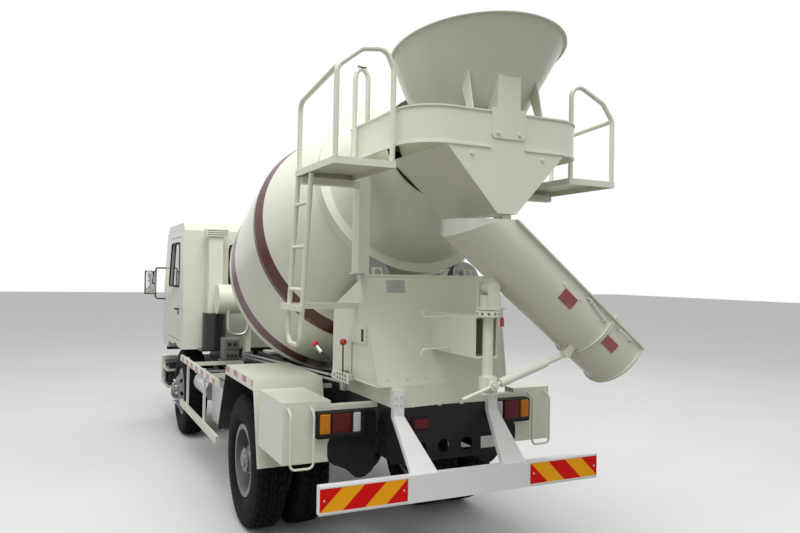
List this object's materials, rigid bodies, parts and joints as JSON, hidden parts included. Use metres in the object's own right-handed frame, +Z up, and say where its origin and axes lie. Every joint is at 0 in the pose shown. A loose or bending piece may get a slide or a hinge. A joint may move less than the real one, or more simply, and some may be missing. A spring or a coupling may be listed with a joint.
{
  "type": "concrete mixer truck",
  "caption": "Two-axle concrete mixer truck with tilt cab, turning drum on a track ring, feed hopper, ladder and platforms, and a swinging, tilting chute with folding end.",
  "frame": {"origin": "on the ground under the middle of the overall length and width", "axes": "+X to the front of the truck, +Y to its left, +Z up"},
  "size_m": [7.1642, 2.58, 3.5277],
  "materials": {
    "black_plastic": "matt black",
    "chassis_black": "satin black chassis paint",
    "chute_inside": "cream paint, worn grey inside",
    "cream_paint": "gloss cream paint",
    "drum_paint": "gloss cream paint with two maroon bands",
    "engine_iron": "painted cast iron",
    "glass": "lightly tinted",
    "lamp_plastic": "gloss lens",
    "seat_cloth": "dark woven cloth",
    "steel": "worn bare steel",
    "tank_metal": "plain metal",
    "tyre_rubber": "matt black rubber"
  },
  "bodies": {
    "chassis": {"frame": "chassis_black", "subframe": "chassis_black", "front_axle": "chassis_black", "rear_axle": "chassis_black", "driveline": "engine_iron", "fuel_tank": "tank_metal", "air_tanks": "tank_metal", "side_guards": "cream_paint", "rear_fenders": "cream_paint", "rear_boxes": "cream_paint", "underrun_bar": "cream_paint", "tail_lamps": "black_plastic", "rear_stand": "cream_paint", "front_stand": "cream_paint", "guard_band": "cream_paint", "feed_hopper": "cream_paint", "collector": "cream_paint", "platforms": "cream_paint", "railings": "cream_paint", "ladder": "cream_paint", "water_tank": "cream_paint", "control_rods": "steel", "air_intake": "black_plastic", "front_bumper": "cream_paint", "headlamps": "glass", "chute_post": "cream_paint"},
    "cab": {"cab_shell": "cream_paint", "cab_glass": "glass", "seats": "seat_cloth", "dashboard": "black_plastic", "grille": "black_plastic", "mirrors": "black_plastic"},
    "door_l": {"door_left": "cream_paint", "door_glass_left": "glass"},
    "door_r": {"door_right": "cream_paint", "door_glass_right": "glass"},
    "knuckle_l": {"knuckle_left": "steel"},
    "knuckle_r": {"knuckle_right": "steel"},
    "tie_rod": {"tie_rod": "steel"},
    "wheel_fl": {"tyre_front_left": "tyre_rubber", "rim_front_left": "cream_paint"},
    "wheel_fr": {"tyre_front_right": "tyre_rubber", "rim_front_right": "cream_paint"},
    "wheels_rl": {"tyres_rear_left": "tyre_rubber", "rims_rear_left": "cream_paint"},
    "wheels_rr": {"tyres_rear_right": "tyre_rubber", "rims_rear_right": "cream_paint"},
    "drum": {"drum": "drum_paint", "drum_blades": "steel"},
    "roller_l": {"roller_left": "steel"},
    "roller_r": {"roller_right": "steel"},
    "chute_swivel": {"chute_swivel": "cream_paint"},
    "chute": {"chute": "chute_inside"},
    "chute_fold": {"chute_fold": "chute_inside"},
    "strut_tube": {"strut_tube": "cream_paint"},
    "strut_rod": {"strut_rod": "steel"}
  },
  "joints": [
    {"name": "cab_tilt", "type": "hinge", "parent": "chassis", "child": "cab", "pos_m": [3.33, 0, 0.93], "axis": [0, 1, 0], "range_deg": [0, 45]},
    {"name": "door_left_swing", "type": "hinge", "parent": "cab", "child": "door_l", "pos_m": [3.016, 1.03, 1.8], "axis": [0, 0, -1], "range_deg": [0, 70]},
    {"name": "door_right_swing", "type": "hinge", "parent": "cab", "child": "door_r", "pos_m": [3.016, -1.03, 1.8], "axis": [0, 0, 1], "range_deg": [0, 70]},
    {"name": "steer_left", "type": "hinge", "parent": "chassis", "child": "knuckle_l", "pos_m": [2.32, 0.69, 0.526], "axis": [0, 0, 1], "range_deg": [-32, 32]},
    {"name": "steer_right", "type": "hinge", "parent": "chassis", "child": "knuckle_r", "pos_m": [2.32, -0.69, 0.526], "axis": [0, 0, 1], "range_deg": [-32, 32]},
    {"name": "tie_rod_pivot", "type": "hinge", "parent": "knuckle_l", "child": "tie_rod", "pos_m": [2.165, 0.69, 0.43], "axis": [0, 0, 1], "range_deg": [-32, 32]},
    {"name": "wheel_front_left_spin", "type": "hinge", "parent": "knuckle_l", "child": "wheel_fl", "pos_m": [2.32, 0.835, 0.526], "axis": [0, 1, 0], "continuous": true},
    {"name": "wheel_front_right_spin", "type": "hinge", "parent": "knuckle_r", "child": "wheel_fr", "pos_m": [2.32, -0.835, 0.526], "axis": [0, 1, 0], "continuous": true},
    {"name": "wheels_rear_left_spin", "type": "hinge", "parent": "chassis", "child": "wheels_rl", "pos_m": [-1.18, 0.9, 0.526], "axis": [0, 1, 0], "continuous": true},
    {"name": "wheels_rear_right_spin", "type": "hinge", "parent": "chassis", "child": "wheels_rr", "pos_m": [-1.18, -0.9, 0.526], "axis": [0, 1, 0], "continuous": true},
    {"name": "drum_spin", "type": "hinge", "parent": "chassis", "child": "drum", "pos_m": [-0.3, 0, 2.01], "axis": [-0.9272, 0, 0.3746], "continuous": true},
    {"name": "roller_left_spin", "type": "hinge", "parent": "chassis", "child": "roller_l", "pos_m": [-2.23939, 0.36787, 2.01488], "axis": [-0.9272, 0, 0.3746], "continuous": true},
    {"name": "roller_right_spin", "type": "hinge", "parent": "chassis", "child": "roller_r", "pos_m": [-2.23939, -0.36787, 2.01488], "axis": [-0.9272, 0, 0.3746], "continuous": true},
    {"name": "chute_swing", "type": "hinge", "parent": "chassis", "child": "chute_swivel", "pos_m": [-3.155, 0, 1.82], "axis": [0, 0, 1], "range_deg": [-180, 10]},
    {"name": "chute_tilt", "type": "hinge", "parent": "chute_swivel", "child": "chute", "pos_m": [-3.155, 0, 1.96], "axis": [-1, 0, 0], "range_deg": [-4, 14]},
    {"name": "chute_fold", "type": "hinge", "parent": "chute", "child": "chute_fold", "pos_m": [-3.155, -0.80651, 1.78546], "axis": [-1, 0, 0], "range_deg": [0, 170]},
    {"name": "strut_swing", "type": "hinge", "parent": "chute_swivel", "child": "strut_tube", "pos_m": [-3.23, 0, 1.372], "axis": [-1, 0, 0], "range_deg": [-3.12, 9.66]},
    {"name": "strut_slide", "type": "slide", "parent": "strut_tube", "child": "strut_rod", "axis": [0, -0.9511, 0.3089], "range_m": [-0.0402, 0.1357]}
  ],
  "couplings": [
    {"joint": "steer_right", "follows": "steer_left", "ratio": 1},
    {"joint": "tie_rod_pivot", "follows": "steer_left", "ratio": -1},
    {"joint": "roller_left_spin", "follows": "drum_spin", "ratio": -6.3636},
    {"joint": "roller_right_spin", "follows": "drum_spin", "ratio": -6.3636},
    {"joint": "strut_swing", "follows": "chute_tilt", "ratio": 0.65432},
    {"joint": "strut_slide", "follows": "chute_tilt", "m_per_rad": 0.54713}
  ]
}
